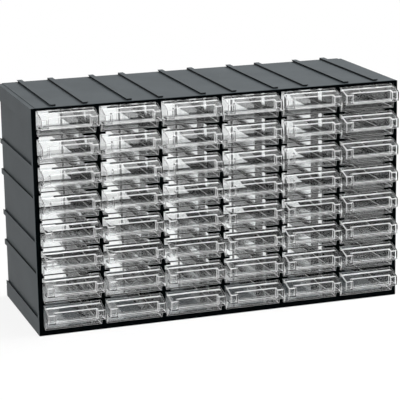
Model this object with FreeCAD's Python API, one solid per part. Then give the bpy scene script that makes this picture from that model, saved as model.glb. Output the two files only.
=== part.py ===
import FreeCAD, Part
import math
import os

# A small-parts cabinet: a plastic casing, open at the back, with a black bezel over
# its mouth, column dividers that carry runners, and a wall of clear drawers that
# slide out towards -Y. Millimetres, +Z up, origin on the floor under the middle of the cabinet.

# Cabinet
cabinet_width = 382.0
cabinet_depth = 148.0
cabinet_height = 230.0
casing_wall = 1.6
fit_gap = 0.1
cut_overrun = 2.0

# Stacking rails, raised from the casing and undercut on their outer side
rail_height = 2.0
rail_width = 5.5
rail_undercut = 1.4
rail_pair_width = 38.0
rail_pitch = 76.0
edge_band = 17.5
mouth_band_depth = 6.0
top_rail_setback = 4.0
edge_step_width = 4.5
edge_step_drop = 0.6

# Bezel over the mouth, and the rows and columns of drawers in it
column_count = 6
row_count = 8
bezel_side = 4.65
bezel_top = 2.5
bezel_bottom = 6.0
bezel_depth = 6.0
bezel_flange_thickness = 1.5
bezel_edge_inset = 0.3
separator_width = 3.5

# Column dividers and side frames
divider_thickness = 1.6
divider_bead_depth = 8.0
divider_solid_depth = 40.0
middle_post_start = 53.0
middle_post_depth = 18.0
rear_post_depth = 3.0

# Runners, which reach further under a drawer's right edge than under its left edge
runner_thickness = 2.4
left_edge_reach = 6.9
right_edge_reach = 13.4
left_wall_reach = 1.6
right_wall_reach = 6.8

# Rear grid, the stop behind the drawers
rear_grid_thickness = 2.0
rear_border = 8.0
rear_bar_height = 8.0

# Drawers
drawer_wall = 1.2
running_gap = 0.3
drawer_side_gap = 0.8
drawer_top_gap = 0.9
drawer_protrusion = 16.0
cheek_drop = 5.1
lip_bottom = 9.0
lip_thickness = 1.4
lip_root = 4.0
toe_setback = 1.5
label_recess = 4.0
bracket_width = 8.0
rim_bar_depth = 2.4
rim_bar_height = 3.2

# Planes that several pieces share
front_y = (drawer_protrusion - cabinet_depth) / 2
back_y = front_y + cabinet_depth
half_width = cabinet_width / 2
deck_z = cabinet_height - rail_height
cavity_half_width = half_width - rail_height - casing_wall
cavity_bottom = rail_height + casing_wall
cavity_top = deck_z - casing_wall
bay_half_width = half_width - bezel_side
bay_top = deck_z - bezel_top
column_pitch = (2 * bay_half_width + separator_width) / column_count
row_pitch = (bay_top - bezel_bottom + runner_thickness) / row_count
drawer_width = column_pitch - separator_width - 2 * drawer_side_gap
drawer_height = row_pitch - runner_thickness - running_gap - drawer_top_gap
cheek_top = drawer_height - cheek_drop
top_rail_pairs = int(cabinet_width // rail_pitch)
side_rail_pairs = int(deck_z // rail_pitch) - 1
casing_front = front_y + bezel_flange_thickness
bezel_back = front_y + bezel_depth
rear_grid_front = back_y - rear_grid_thickness
panel_front = bezel_back + fit_gap
panel_back = rear_grid_front - fit_gap


def block(x_low, x_high, y_low, y_high, z_low, z_high):
    """A box between two corners."""
    corner = FreeCAD.Vector(x_low, y_low, z_low)
    return Part.makeBox(x_high - x_low, y_high - y_low, z_high - z_low, corner)


def joined(solids):
    """One solid from pieces that touch or overlap."""
    return solids[0].multiFuse(solids[1:]).removeSplitter()


def prism(points, direction):
    """A prism on a closed outline of points."""
    outline = Part.makePolygon(points + points[:1])
    return Part.Face(outline).extrude(direction)


def floor_of_row(row):
    """Height of the surface that a row's drawers slide on; row 1 is the top row."""
    return bezel_bottom + (row_count - row) * row_pitch


def centre_of_column(column):
    """Middle of a column; column 1 is the left one, seen from the front."""
    return (column - (column_count + 1) / 2) * column_pitch


def rail_centres(count):
    """Evenly spaced places about the middle."""
    return [(index - (count - 1) / 2) * rail_pitch for index in range(count)]


def rail_section(low, high, low_undercut, high_undercut):
    """Outline of a rail as (place, height) pairs, narrower at its foot where undercut."""
    return [
        (low + low_undercut, 0),
        (low, rail_height),
        (high, rail_height),
        (high - high_undercut, 0),
    ]


def pair_sections(centre):
    """The two rails of a pair, each undercut on its outer side."""
    low = centre - rail_pair_width / 2
    high = centre + rail_pair_width / 2
    return [
        rail_section(low, low + rail_width, rail_undercut, 0),
        rail_section(high - rail_width, high, 0, rail_undercut),
    ]


def rail_prisms(sections, place_point, rail_front):
    """Rails along Y from their outlines; place_point turns (place, height) into x and z."""
    run = FreeCAD.Vector(0, back_y - rail_front, 0)
    rails = []
    for section in sections:
        corners = [place_point(place, height) for place, height in section]
        points = [FreeCAD.Vector(x, rail_front, z) for x, z in corners]
        rails.append(prism(points, run))
    return rails


def make_casing():
    """Four walls, open front and back, with stacking rails on every side."""
    shell = block(
        rail_height - half_width, half_width - rail_height,
        casing_front, back_y, rail_height, deck_z,
    )
    mouth_band = block(
        -half_width, half_width, casing_front, front_y + mouth_band_depth, 0, deck_z,
    )
    solids = [shell, mouth_band]

    side_sections = [
        rail_section(0, edge_band, 0, rail_undercut),
        rail_section(deck_z - edge_band, deck_z, rail_undercut, 0),
    ]
    for pair in range(1, side_rail_pairs + 1):
        side_sections += pair_sections(pair * rail_pitch)
    for side in (-1, 1):
        foot = half_width - rail_height
        solids += rail_prisms(
            side_sections, lambda place, height: (side * (foot + height), place), casing_front,
        )

    deck_sections = []
    for centre in rail_centres(top_rail_pairs):
        deck_sections += pair_sections(centre)
    solids += rail_prisms(
        deck_sections, lambda place, height: (place, deck_z + height),
        front_y + top_rail_setback,
    )

    sole_sections = [
        rail_section(-half_width, edge_band - half_width, 0, rail_undercut),
        rail_section(half_width - edge_band, half_width, rail_undercut, 0),
    ]
    for centre in rail_centres(top_rail_pairs - 1):
        sole_sections += pair_sections(centre)
    solids += rail_prisms(
        sole_sections, lambda place, height: (place, rail_height - height), casing_front,
    )

    hollows = [block(
        -cavity_half_width, cavity_half_width,
        front_y - cut_overrun, back_y + cut_overrun, cavity_bottom, cavity_top,
    )]
    for side in (-1, 1):
        edge = side * (half_width - edge_step_width)
        beyond = side * (half_width + cut_overrun)
        hollows.append(block(
            min(edge, beyond), max(edge, beyond), front_y, back_y + cut_overrun,
            deck_z - edge_step_drop, deck_z + cut_overrun,
        ))
    return joined(solids).cut(hollows)


def ring(y_low, y_high, border, low_edge, high_edge):
    """A frame that fits in the casing, open between two heights and out to a border."""
    outer = block(
        fit_gap - cavity_half_width, cavity_half_width - fit_gap,
        y_low, y_high, cavity_bottom + fit_gap, cavity_top - fit_gap,
    )
    window = block(
        -border, border, y_low - cut_overrun, y_high + cut_overrun, low_edge, high_edge,
    )
    return outer.cut(window)


def make_bezel():
    """The black frame of the mouth: a plug in the casing, and a flange over its edge."""
    plug = ring(front_y, bezel_back, bay_half_width, bezel_bottom, bay_top)
    flange = block(
        bezel_edge_inset - half_width, half_width - bezel_edge_inset, front_y, casing_front,
        bezel_edge_inset, deck_z - bezel_edge_inset,
    )
    mouth = block(
        -bay_half_width, bay_half_width, front_y - cut_overrun, casing_front + cut_overrun,
        bezel_bottom, bay_top,
    )
    return joined([plug, flange.cut(mouth)])


def make_rear_grid():
    """The frame at the back with a bar behind each two rows, the stop for the drawers."""
    bar_overlap = (rear_bar_height - runner_thickness) / 2
    border = cavity_half_width - fit_gap - rear_border
    solids = [ring(
        rear_grid_front, back_y, border, bezel_bottom + bar_overlap, bay_top - bar_overlap,
    )]
    for row in range(1, row_count):
        middle = floor_of_row(row) - runner_thickness / 2
        solids.append(block(
            -border, border, rear_grid_front, back_y,
            middle - rear_bar_height / 2, middle + rear_bar_height / 2,
        ))
    return joined(solids)


def runner_panel(uprights, plate_low, plate_high, runner_low, runner_high, nose_low, nose_high):
    """Upright plates, each between two places along Y, joined by a runner under each row."""
    low = cavity_bottom + fit_gap
    high = cavity_top - fit_gap
    solids = [block(plate_low, plate_high, near, far, low, high) for near, far in uprights]
    for row in range(1, row_count + 1):
        top = floor_of_row(row)
        underside = max(top - runner_thickness, low)
        solids.append(block(runner_low, runner_high, panel_front, panel_back, underside, top))
        if row < row_count:
            solids.append(block(nose_low, nose_high, front_y, panel_front, underside, top))
    return solids


def make_divider(centre):
    """A divider between two columns: a plate, two posts, a bead up to the mouth, and runners."""
    uprights = [
        (panel_front, front_y + divider_solid_depth),
        (front_y + middle_post_start, front_y + middle_post_start + middle_post_depth),
        (panel_back - rear_post_depth, panel_back),
    ]
    half_plate = divider_thickness / 2
    low = centre - half_plate - right_edge_reach
    high = centre + half_plate + left_edge_reach
    solids = runner_panel(
        uprights, centre - half_plate, centre + half_plate, low, high, low, high,
    )
    solids.append(block(
        centre - separator_width / 2, centre + separator_width / 2,
        front_y, front_y + divider_bead_depth, bezel_bottom + fit_gap, bay_top - fit_gap,
    ))
    return joined(solids)


def make_side_frame(side, reach):
    """The runner frame against a side wall; side is -1 on the left and 1 on the right."""
    outer = side * (cavity_half_width - fit_gap)
    inner = outer - side * divider_thickness
    tip = inner - side * reach
    nose = side * (bay_half_width - fit_gap)
    return joined(runner_panel(
        [(panel_front, panel_back)], min(outer, inner), max(outer, inner),
        min(outer, tip), max(outer, tip), min(nose, tip), max(nose, tip),
    ))


def make_drawer(centre, sole):
    """A clear tray whose front slopes out to a label plate between brackets, over a lip."""
    half = drawer_width / 2
    tray_length = rear_grid_front - running_gap - front_y
    face = -drawer_protrusion
    label_face = face + label_recess
    lip_top = lip_bottom + lip_thickness
    slope = cheek_drop / drawer_protrusion
    slope_wall = drawer_wall * math.hypot(drawer_protrusion, cheek_drop) / drawer_protrusion

    def across(points, low, high):
        """A prism across the drawer on an outline of (y, z) from the mouth and the sole."""
        corners = [FreeCAD.Vector(centre + low, front_y + y, sole + z) for y, z in points]
        return prism(corners, FreeCAD.Vector(high - low, 0, 0))

    def hollow(front, low, high):
        """The space behind a front wall whose inner face is at front."""
        return across([
            (tray_length - drawer_wall, drawer_wall),
            (tray_length - drawer_wall, drawer_height + cut_overrun),
            (0, drawer_height + cut_overrun),
            (0, drawer_height - rim_bar_height),
            (-rim_bar_depth, drawer_height - rim_bar_height),
            (-rim_bar_depth, drawer_height - slope * rim_bar_depth - slope_wall),
            (front, drawer_height + slope * front - slope_wall),
            (front, lip_top),
            (drawer_wall - lip_root, lip_top),
            (drawer_wall - toe_setback, drawer_wall),
        ], low, high)

    body = across([
        (tray_length, 0),
        (tray_length, drawer_height),
        (0, drawer_height),
        (face, cheek_top),
        (face, lip_bottom),
        (-lip_root, lip_bottom),
        (-toe_setback, 0),
    ], -half, half)
    inner_half = half - drawer_wall
    bracket_inner = half - bracket_width
    window = block(
        centre - bracket_inner, centre + bracket_inner,
        front_y + face - cut_overrun, front_y + label_face, sole + lip_top, sole + drawer_height,
    )
    pocket_edge = bracket_inner + drawer_wall
    return body.cut([
        hollow(label_face + drawer_wall, -inner_half, inner_half),
        hollow(face + drawer_wall, -inner_half, -pocket_edge),
        hollow(face + drawer_wall, pocket_edge, inner_half),
        window,
    ])


def save(name, shape):
    """Write one piece to its own file."""
    shape.exportStep(os.path.join("parts", name + ".step"))


os.makedirs("parts", exist_ok=True)
save("casing", make_casing())
save("bezel", make_bezel())
save("rear_grid", make_rear_grid())
save("left_side_frame", make_side_frame(-1, left_wall_reach))
save("right_side_frame", make_side_frame(1, right_wall_reach))
for gap in range(1, column_count):
    between = (centre_of_column(gap) + centre_of_column(gap + 1)) / 2
    save("divider_" + str(gap), make_divider(between))
for row in range(1, row_count + 1):
    for column in range(1, column_count + 1):
        drawer = make_drawer(centre_of_column(column), floor_of_row(row) + running_gap)
        save("drawer_row_" + str(row) + "_column_" + str(column), drawer)
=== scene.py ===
# %% [markdown]
# # A small-parts cabinet with clear drawers
# The object is a low, wide cabinet: a charcoal plastic casing with stacking rails, a bezel painted nearly
# black as painted shade for its unlit front, and six columns of eight clear drawers. The casing is plain
# moulded plastic, so it needs soft edges and a grained finish. The drawers are clear, so what makes them
# look right is their wall thickness, their rounded edges and the white studio behind them.

# %% Load the imported model
import bmesh
import bpy
import math
from mathutils import Matrix, Vector


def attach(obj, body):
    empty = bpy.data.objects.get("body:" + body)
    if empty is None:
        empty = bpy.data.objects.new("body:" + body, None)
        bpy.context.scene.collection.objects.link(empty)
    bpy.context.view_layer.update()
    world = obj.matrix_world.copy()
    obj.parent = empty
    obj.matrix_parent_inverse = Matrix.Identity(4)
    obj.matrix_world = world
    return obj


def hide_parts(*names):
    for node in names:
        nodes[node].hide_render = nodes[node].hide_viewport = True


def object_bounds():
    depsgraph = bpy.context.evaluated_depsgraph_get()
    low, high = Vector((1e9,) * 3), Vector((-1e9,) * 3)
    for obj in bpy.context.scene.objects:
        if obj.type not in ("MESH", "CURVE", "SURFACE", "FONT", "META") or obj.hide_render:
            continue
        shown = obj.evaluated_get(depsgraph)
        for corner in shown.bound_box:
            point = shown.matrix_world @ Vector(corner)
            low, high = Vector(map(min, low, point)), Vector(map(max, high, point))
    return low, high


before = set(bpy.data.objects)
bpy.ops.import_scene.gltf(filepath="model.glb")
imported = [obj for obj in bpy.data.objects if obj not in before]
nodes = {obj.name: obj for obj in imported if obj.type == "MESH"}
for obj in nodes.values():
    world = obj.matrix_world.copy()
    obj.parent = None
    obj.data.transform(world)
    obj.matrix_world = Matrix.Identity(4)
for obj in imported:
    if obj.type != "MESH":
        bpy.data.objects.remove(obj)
cad_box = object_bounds()
print("The packed model has", len(nodes), "nodes, and its box is", cad_box)

# %% [markdown]
# ## Camera
# A catalogue photographer stands a long way off with a long lens, so the cabinet's edges stay nearly
# parallel. The lens and the place below were found by matching the casing's corners in the photograph.
# A camera in Blender looks along its own -Z, so it is first laid on its back and then turned.

# %% Place the camera
camera_place = Vector((-0.563, -1.703, 0.554))
camera_heading = math.radians(-18.26)
camera_dip = math.radians(14.05)
camera_roll = math.radians(-0.99)
sensor_width = 36.0
image_width = 400
focal_length_in_pixels = 1786

camera_data = bpy.data.cameras.new("camera")
camera_data.sensor_width = sensor_width
camera_data.lens = focal_length_in_pixels / image_width * sensor_width
camera = bpy.data.objects.new("camera", camera_data)
bpy.context.scene.collection.objects.link(camera)
turn = Matrix.Rotation(camera_heading, 4, "Z")
tilt = Matrix.Rotation(math.pi / 2 - camera_dip, 4, "X")
roll = Matrix.Rotation(camera_roll, 4, "Z")
camera.matrix_world = Matrix.Translation(camera_place) @ turn @ tilt @ roll
bpy.context.scene.camera = camera
print("Lens", round(camera_data.lens, 1), "mm")

# %% [markdown]
# ## Materials from nodes
# Every finish is a node tree. Patterns read Object coordinates, which are metres here because each
# piece's place is in its mesh, so a scale of 2000 makes spots half a millimetre wide.

# %% Helpers that start a material and make its patterns
ramp_start = 0.3
ramp_end = 0.7


def start_material(name):
    """A new material with its node tree and its main shader."""
    material = bpy.data.materials.new(name)
    material.use_nodes = True
    tree = material.node_tree
    shader = tree.nodes["Principled BSDF"]
    return material, tree, shader


def noise(tree, scale, detail, roughness=0.5):
    """Cloudy values from 0 to 1 that stay fixed on the piece."""
    place = tree.nodes.new("ShaderNodeTexCoord")
    texture = tree.nodes.new("ShaderNodeTexNoise")
    texture.inputs["Scale"].default_value = scale
    texture.inputs["Detail"].default_value = detail
    texture.inputs["Roughness"].default_value = roughness
    tree.links.new(place.outputs["Object"], texture.inputs["Vector"])
    return texture.outputs["Fac"]


def ramp(tree, value, low_color, high_color):
    """A colour between two, with most of the change in the middle of the value's range."""
    node = tree.nodes.new("ShaderNodeValToRGB")
    low_end, high_end = node.color_ramp.elements
    low_end.position = ramp_start
    low_end.color = (*low_color, 1)
    high_end.position = ramp_end
    high_end.color = (*high_color, 1)
    tree.links.new(value, node.inputs["Fac"])
    return node.outputs["Color"]


def spread(tree, value, low, high):
    """A value from 0 to 1 turned into one between two limits."""
    node = tree.nodes.new("ShaderNodeMapRange")
    node.inputs["To Min"].default_value = low
    node.inputs["To Max"].default_value = high
    tree.links.new(value, node.inputs["Value"])
    return node.outputs["Result"]


def bump(tree, height, distance, strength):
    """A normal that leans as if the surface had this height, in metres."""
    node = tree.nodes.new("ShaderNodeBump")
    node.inputs["Distance"].default_value = distance
    node.inputs["Strength"].default_value = strength
    tree.links.new(height, node.inputs["Height"])
    return node.outputs["Normal"]


# %% [markdown]
# ## Charcoal casing plastic
# The casing is injection-moulded polystyrene with a fine spark-eroded grain: slightly uneven in tone over
# a few centimetres, where the melt flowed, and grainy at half a millimetre. Two noises do that, a slow
# one for the colour and a fast one for the bump and the roughness.

# %% Make the casing's plastic
flow_scale = 28.0
grain_scale = 1900.0
grain_depth = 0.00004


def moulded_plastic(name, dark, light, rough_low, rough_high, specular):
    """An opaque plastic whose tone drifts slowly between two colours under a fine grain."""
    material, tree, shader = start_material(name)
    flow = noise(tree, flow_scale, detail=4.0)
    grain = noise(tree, grain_scale, detail=2.0, roughness=0.6)
    tree.links.new(ramp(tree, flow, dark, light), shader.inputs["Base Color"])
    tree.links.new(spread(tree, grain, rough_low, rough_high), shader.inputs["Roughness"])
    tree.links.new(bump(tree, grain, grain_depth, strength=0.35), shader.inputs["Normal"])
    shader.inputs["Specular IOR Level"].default_value = specular
    return material


charcoal = moulded_plastic(
    "charcoal_casing", dark=(0.0395, 0.049, 0.0545), light=(0.0515, 0.0624, 0.0687),
    rough_low=0.50, rough_high=0.66, specular=0.20,
)
# Nearly black plastic for the rails' flanks and ends: painted shade for the shadow beside each rail.
rail_flank_painted_shade = moulded_plastic(
    "rail_flank_painted_shade", dark=(0.004, 0.005, 0.005), light=(0.007, 0.008, 0.009),
    rough_low=0.50, rough_high=0.66, specular=0.10,
)
# A near-black copy of the casing plastic, for the bezel and the inner frame: painted shade for the unlit
# front and the shaded inside.
frame_painted_shade_black = moulded_plastic(
    "frame_painted_shade_black", dark=(0.0005, 0.0009, 0.0010), light=(0.0010, 0.0016, 0.0018),
    rough_low=0.50, rough_high=0.65, specular=0.0,
)
print("Three opaque plastics:", charcoal.name, rail_flank_painted_shade.name, frame_painted_shade_black.name)

# %% [markdown]
# ## Clear drawer plastic
# The drawers are crystal polystyrene. Full transmission on closed walls gives the bright and dark lines
# along every edge. The real index of refraction is 1.59, but then every side wall mirrors the white
# studio and the trays fill with white. The photograph shows dark insides, so the index is set lower.
# About a hundredth of the light is scattered, not passed, which gives the walls their grey veil.
# Glass blocks lamps in a path tracer, so for shadow rays alone the material turns see-through, which
# lets the light into the trays. The rounded edges are a second material that scatters about half the
# light as a pale surface: a painted highlight for the bright lines that rounded clear edges catch.

# %% Make the clear plastic
drawer_index = 1.18
haze_scale = 90.0
swirl_scale = 35.0
swirl_depth = 0.0004
grey_tint = (0.958, 0.965, 0.965)
pale_tint = (0.978, 0.985, 0.985)


def clear_plastic(name, transmission, rough_low, rough_high, wave):
    """A see-through plastic; wave is how strongly the melt's swirls bend its surface."""
    material, tree, shader = start_material(name)
    shader.inputs["Transmission Weight"].default_value = transmission
    shader.inputs["IOR"].default_value = drawer_index
    haze = noise(tree, haze_scale, detail=3.0)
    swirl = noise(tree, swirl_scale, detail=2.0)
    tree.links.new(ramp(tree, swirl, grey_tint, pale_tint), shader.inputs["Base Color"])
    tree.links.new(spread(tree, haze, rough_low, rough_high), shader.inputs["Roughness"])
    tree.links.new(bump(tree, swirl, swirl_depth, wave), shader.inputs["Normal"])
    see_through = tree.nodes.new("ShaderNodeBsdfTransparent")
    path = tree.nodes.new("ShaderNodeLightPath")
    mix = tree.nodes.new("ShaderNodeMixShader")
    output = tree.nodes["Material Output"]
    tree.links.new(path.outputs["Is Shadow Ray"], mix.inputs["Fac"])
    tree.links.new(shader.outputs["BSDF"], mix.inputs[1])
    tree.links.new(see_through.outputs["BSDF"], mix.inputs[2])
    tree.links.new(mix.outputs["Shader"], output.inputs["Surface"])
    return material


clear = clear_plastic(
    "clear_polystyrene", transmission=0.99, rough_low=0.0, rough_high=0.02, wave=0.01,
)
# Paler edges that scatter about half the light: a painted highlight for the bright edge lines.
edge_painted_highlight = clear_plastic(
    "clear_polystyrene_edge_painted_highlight", transmission=0.52, rough_low=0.15, rough_high=0.30, wave=0.1,
)
print("Clear plastic with index", drawer_index)

# %% [markdown]
# ## Softened mouldings
# Every edge of a real moulding has a small radius, which catches the light as a thin line. A node's mesh
# is loose triangles, so a copy of it is merged and its flat triangles are dissolved, and then all the
# edges that turn a corner are bevelled. The shape stays exactly the one that was engineered.

# %% A helper that copies a node with soft edges
crease_angle = math.radians(20)
flat_angle = math.radians(0.5)
weld_distance = 0.00001
edge_segments = 2
same_material = -1


def softened(node_name, piece_name, radius, edge_material=same_material):
    """A copy of a node's mesh with its corners rounded; edge_material is the strips' slot."""
    shape = bmesh.new()
    shape.from_mesh(nodes[node_name].data)
    bmesh.ops.remove_doubles(shape, verts=shape.verts, dist=weld_distance)
    bmesh.ops.dissolve_limit(
        shape, angle_limit=flat_angle, verts=shape.verts, edges=shape.edges,
    )
    corners = [
        edge for edge in shape.edges
        if len(edge.link_faces) == 2 and edge.calc_face_angle() > crease_angle
    ]
    bmesh.ops.bevel(
        shape, geom=corners, offset=radius, offset_type="OFFSET", segments=edge_segments,
        profile=0.5, affect="EDGES", material=edge_material, clamp_overlap=True,
    )
    bmesh.ops.recalc_face_normals(shape, faces=shape.faces)
    mesh = bpy.data.meshes.new(piece_name)
    shape.to_mesh(mesh)
    shape.free()
    mesh.shade_smooth()
    piece = bpy.data.objects.new(piece_name, mesh)
    bpy.context.scene.collection.objects.link(piece)
    weights = piece.modifiers.new("face_weighted_normals", "WEIGHTED_NORMAL")
    weights.weight = 100
    return piece


def dress(piece, node_name, body, material):
    """Give a piece its finish and its body, and hide the node that it stands in for."""
    piece.data.materials.append(material)
    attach(piece, body)
    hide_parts(node_name)


# %% [markdown]
# ## Casing
# The casing is one moulding: four walls and the stacking rails. The bezel's flange hides its front edge,
# so the mouth of the cabinet reads as a thin frame, whose near-black is painted shade. The rails' flanks
# and ends are painted nearly black as the piece's second material: painted shade for the shadow beside
# each rail.

# %% Make the casing
casing_edge_radius = 0.00035
rail_height = 0.002
flank_margin = 0.0005
least_outward_lean = 0.9
painted_shade_slot = 1

casing = softened("casing", "casing_shell", casing_edge_radius)
dress(casing, "casing", "cabinet", charcoal)
casing.data.materials.append(rail_flank_painted_shade)
deck_height = cad_box[1][2] - rail_height
wall_reach = cad_box[1][0] - rail_height
flanks = 0
# Faces on the rails' flanks and ends take the near-black plastic, painted shade.
for face in casing.data.polygons:
    above_deck = face.center.z - deck_height
    beyond_wall = abs(face.center.x) - wall_reach
    on_top = flank_margin < above_deck < rail_height - flank_margin
    on_side = flank_margin < beyond_wall < rail_height - flank_margin
    faces_out = abs(face.normal.x) > least_outward_lean
    if on_top or (on_side and not faces_out and face.center.z < deck_height):
        face.material_index = painted_shade_slot
        flanks += 1
print("Casing faces:", len(casing.data.polygons), "of which rail flanks:", flanks)

# %% [markdown]
# ## Bezel, rear grid, dividers and side frames
# These sit behind and between the drawers. They are thin, and only their front edges and the parts behind
# the clear drawers show, so a small radius is enough.

# %% Make the inner frame
inner_edge_radius = 0.0002
inner_nodes = ["bezel", "rear_grid", "left_side_frame", "right_side_frame"]
inner_nodes += sorted(name for name in nodes if name.startswith("divider_"))
for name in inner_nodes:
    piece = softened(name, name + "_moulding", inner_edge_radius)
    # The inner frame takes the near-black copy of the casing plastic, painted shade.
    dress(piece, name, "cabinet", frame_painted_shade_black)
print("Inner mouldings:", len(inner_nodes))

# %% [markdown]
# ## Drawers
# Each drawer is one clear moulding, so it has to be one closed skin: overlapping pieces of glass would
# show their hidden faces. A softened copy of the engineered tray keeps its label recess, its two label
# brackets and its pull lip. The rounded strips take the second material of the piece, the paler one.

# %% Make the drawers
drawer_edge_radius = 0.0003
edge_slot = 1
drawer_nodes = sorted(name for name in nodes if name.startswith("drawer_"))
for name in drawer_nodes:
    piece = softened(name, name + "_tray", drawer_edge_radius, edge_slot)
    dress(piece, name, name, clear)
    # The rounded strips take the paler edge plastic, a painted highlight.
    piece.data.materials.append(edge_painted_highlight)
print("Drawers:", len(drawer_nodes))

# %% [markdown]
# ## Which rays see the studio
# The studio is white behind and above, and dim in front, where the camera stands: the drawers would go
# milky if they mirrored white on that side. What the camera sees past the cabinet, or through it, is
# plain white. So the floor and the world first ask what kind of ray has reached them.

# %% A helper that tells which rays show the white studio
front_level = 0.02


def showing_rays(tree, kinds):
    """1 for the kinds of ray that are named, and 0 for all others."""
    path = tree.nodes.new("ShaderNodeLightPath")
    value = path.outputs[kinds[0]]
    for kind in kinds[1:]:
        either = tree.nodes.new("ShaderNodeMath")
        either.operation = "MAXIMUM"
        tree.links.new(value, either.inputs[0])
        tree.links.new(path.outputs[kind], either.inputs[1])
        value = either.outputs["Value"]
    return value


# %% [markdown]
# ## Floor
# The floor is pale paper. Close to the cabinet it keeps a soft shadow, and further out the camera sees it
# turn plain white. Mirrored and refracted rays see paper that is white behind and dim in front.

# %% Make the floor
speckle_scale = 40.0
paper_grey = (0.86, 0.86, 0.86)
paper_white = (0.89, 0.89, 0.89)
paper_roughness = 0.9
paper_specular = 0.1
shadow_radius = 0.22
white_radius = 0.45
shadow_white_share = 0.8
dim_front_edge = -0.55
white_front_edge = -0.10
floor_half_size = 6.0


def pale_floor():
    """Paper that the camera sees turn white, and that mirrors see dim in front."""
    material, tree, shader = start_material("pale_floor")
    speckle = noise(tree, speckle_scale, detail=3.0)
    tree.links.new(ramp(tree, speckle, paper_grey, paper_white), shader.inputs["Base Color"])
    shader.inputs["Roughness"].default_value = paper_roughness
    shader.inputs["Specular IOR Level"].default_value = paper_specular
    place = tree.nodes.new("ShaderNodeTexCoord")
    distance = tree.nodes.new("ShaderNodeVectorMath")
    distance.operation = "LENGTH"
    tree.links.new(place.outputs["Object"], distance.inputs[0])
    whiteness = tree.nodes.new("ShaderNodeMapRange")
    whiteness.inputs["From Min"].default_value = shadow_radius
    whiteness.inputs["From Max"].default_value = white_radius
    whiteness.inputs["To Min"].default_value = shadow_white_share
    whiteness.inputs["To Max"].default_value = 1.0
    tree.links.new(distance.outputs["Value"], whiteness.inputs["Value"])
    share = tree.nodes.new("ShaderNodeMath")
    share.operation = "MULTIPLY"
    tree.links.new(whiteness.outputs["Result"], share.inputs[0])
    tree.links.new(showing_rays(tree, ["Is Camera Ray"]), share.inputs[1])
    plain_white = tree.nodes.new("ShaderNodeEmission")
    photographed = tree.nodes.new("ShaderNodeMixShader")
    tree.links.new(share.outputs["Value"], photographed.inputs["Fac"])
    tree.links.new(shader.outputs["BSDF"], photographed.inputs[1])
    tree.links.new(plain_white.outputs["Emission"], photographed.inputs[2])

    axes = tree.nodes.new("ShaderNodeSeparateXYZ")
    tree.links.new(place.outputs["Object"], axes.inputs["Vector"])
    paper = tree.nodes.new("ShaderNodeMapRange")
    paper.inputs["From Min"].default_value = dim_front_edge
    paper.inputs["From Max"].default_value = white_front_edge
    paper.inputs["To Min"].default_value = front_level
    paper.inputs["To Max"].default_value = 1.0
    tree.links.new(axes.outputs["Y"], paper.inputs["Value"])
    mirrored_paper = tree.nodes.new("ShaderNodeEmission")
    tree.links.new(paper.outputs["Result"], mirrored_paper.inputs["Strength"])
    mix = tree.nodes.new("ShaderNodeMixShader")
    mirrored = showing_rays(tree, ["Is Glossy Ray", "Is Transmission Ray"])
    tree.links.new(mirrored, mix.inputs["Fac"])
    tree.links.new(photographed.outputs["Shader"], mix.inputs[1])
    tree.links.new(mirrored_paper.outputs["Emission"], mix.inputs[2])
    tree.links.new(mix.outputs["Shader"], tree.nodes["Material Output"].inputs["Surface"])
    return material


floor_shape = bmesh.new()
bmesh.ops.create_grid(floor_shape, x_segments=4, y_segments=4, size=floor_half_size)
floor_mesh = bpy.data.meshes.new("floor")
floor_shape.to_mesh(floor_mesh)
floor_shape.free()
floor_mesh.materials.append(pale_floor())
floor = bpy.data.objects.new("floor", floor_mesh)
bpy.context.scene.collection.objects.link(floor)
print("The floor is", 2 * floor_half_size, "m wide")

# %% [markdown]
# ## Lamps
# The key lamp is high on the right and lights the top. A smaller lamp beside the camera lights the
# drawers' edges and the veil of their walls.

# %% Set the lamps
def soft_lamp(name, place, target, size, power):
    """A square lamp of this many metres and watts that shines at a target."""
    lamp_data = bpy.data.lights.new(name, "AREA")
    lamp_data.shape = "SQUARE"
    lamp_data.size = size
    lamp_data.energy = power
    lamp = bpy.data.objects.new(name, lamp_data)
    bpy.context.scene.collection.objects.link(lamp)
    lamp.location = place
    aim = Vector(target) - Vector(place)
    lamp.rotation_euler = aim.to_track_quat("-Z", "Y").to_euler()


middle = ((cad_box[0][0] + cad_box[1][0]) / 2, 0.0, (cad_box[0][2] + cad_box[1][2]) / 2)
soft_lamp("lamp_key", place=(1.1, 0.2, 1.7), target=middle, size=1.2, power=42.0)
soft_lamp("lamp_front", place=(-0.6, -2.0, 1.1), target=middle, size=0.8, power=51.0)
print("Two lamps are aimed at", middle)

# %% [markdown]
# ## World
# The world does three jobs. It fills the shadows with an even, weak light. To mirrored and refracted rays
# it is a studio that turns white towards the back. To the camera it is the plain white background.

# %% Set the world
fill_level = 0.33
dim_until = 0.2
white_from = 0.7

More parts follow.
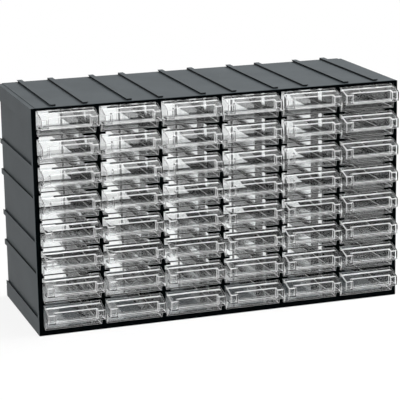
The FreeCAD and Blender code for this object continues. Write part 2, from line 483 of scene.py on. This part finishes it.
world = bpy.data.worlds.new("studio")
world.use_nodes = True
bpy.context.scene.world = world
sky = world.node_tree
fill = sky.nodes["Background"]
fill.inputs["Color"].default_value = (1, 1, 1, 1)
fill.inputs["Strength"].default_value = fill_level

direction = sky.nodes.new("ShaderNodeTexCoord")
axes = sky.nodes.new("ShaderNodeSeparateXYZ")
sky.links.new(direction.outputs["Generated"], axes.inputs["Vector"])
backness = sky.nodes.new("ShaderNodeMapRange")
backness.interpolation_type = "SMOOTHSTEP"
backness.inputs["From Min"].default_value = dim_until
backness.inputs["From Max"].default_value = white_from
backness.inputs["To Min"].default_value = front_level
backness.inputs["To Max"].default_value = 1.0
sky.links.new(axes.outputs["Y"], backness.inputs["Value"])
studio = sky.nodes.new("ShaderNodeBackground")
sky.links.new(backness.outputs["Result"], studio.inputs["Strength"])
white = sky.nodes.new("ShaderNodeBackground")

mirrored = sky.nodes.new("ShaderNodeMixShader")
sky.links.new(showing_rays(sky, ["Is Glossy Ray", "Is Transmission Ray"]), mirrored.inputs["Fac"])
sky.links.new(fill.outputs["Background"], mirrored.inputs[1])
sky.links.new(studio.outputs["Background"], mirrored.inputs[2])
seen = sky.nodes.new("ShaderNodeMixShader")
sky.links.new(showing_rays(sky, ["Is Camera Ray"]), seen.inputs["Fac"])
sky.links.new(mirrored.outputs["Shader"], seen.inputs[1])
sky.links.new(white.outputs["Background"], seen.inputs[2])
sky.links.new(seen.outputs["Shader"], sky.nodes["World Output"].inputs["Surface"])
for background in (studio, white):
    background.inputs["Color"].default_value = (1, 1, 1, 1)
print("The world is", fill_level, "as a fill and", front_level, "in front for mirrored rays")

# %% [markdown]
# ## Finish
# The view transform is Standard, so a colour comes out as it was chosen. Clear walls behind clear walls
# need more bounces than the default, or the inner trays turn black.

# %% Set the view and the bounces
light_bounces = 24
see_through_bounces = 32

scene = bpy.context.scene
scene.view_settings.view_transform = "Standard"
scene.cycles.max_bounces = light_bounces
scene.cycles.transmission_bounces = light_bounces
scene.cycles.transparent_max_bounces = see_through_bounces
